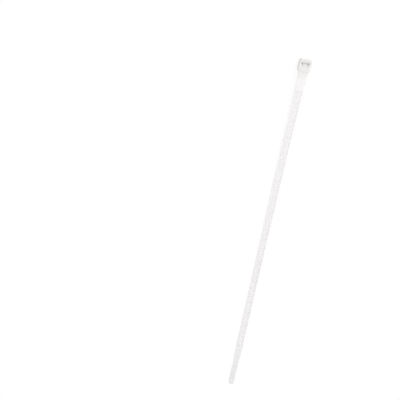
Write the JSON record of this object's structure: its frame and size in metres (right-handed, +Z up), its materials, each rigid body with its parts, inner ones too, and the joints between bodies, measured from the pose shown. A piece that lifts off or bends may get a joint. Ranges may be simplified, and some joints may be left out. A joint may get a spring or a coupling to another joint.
{
  "type": "cable tie",
  "caption": "Self-locking nylon cable tie moulded in one piece: ratchet head with a slot and pawl, toothed strap with smooth rails, and a narrower grip tail.",
  "frame": {"origin": "centre of the strap's slot through the head, at the level of the head's exit face, which is the plane that the tie lies on", "axes": "+X from the head along the strap to the tail, +Y across the strap, +Z up out of the head's entry face, on the toothed side"},
  "size_m": [0.25, 0.0078, 0.006],
  "materials": {
    "natural_nylon": "natural milky nylon, slightly translucent, soft satin"
  },
  "bodies": {
    "root": {"cable_tie": "natural_nylon"}
  },
  "joints": []
}
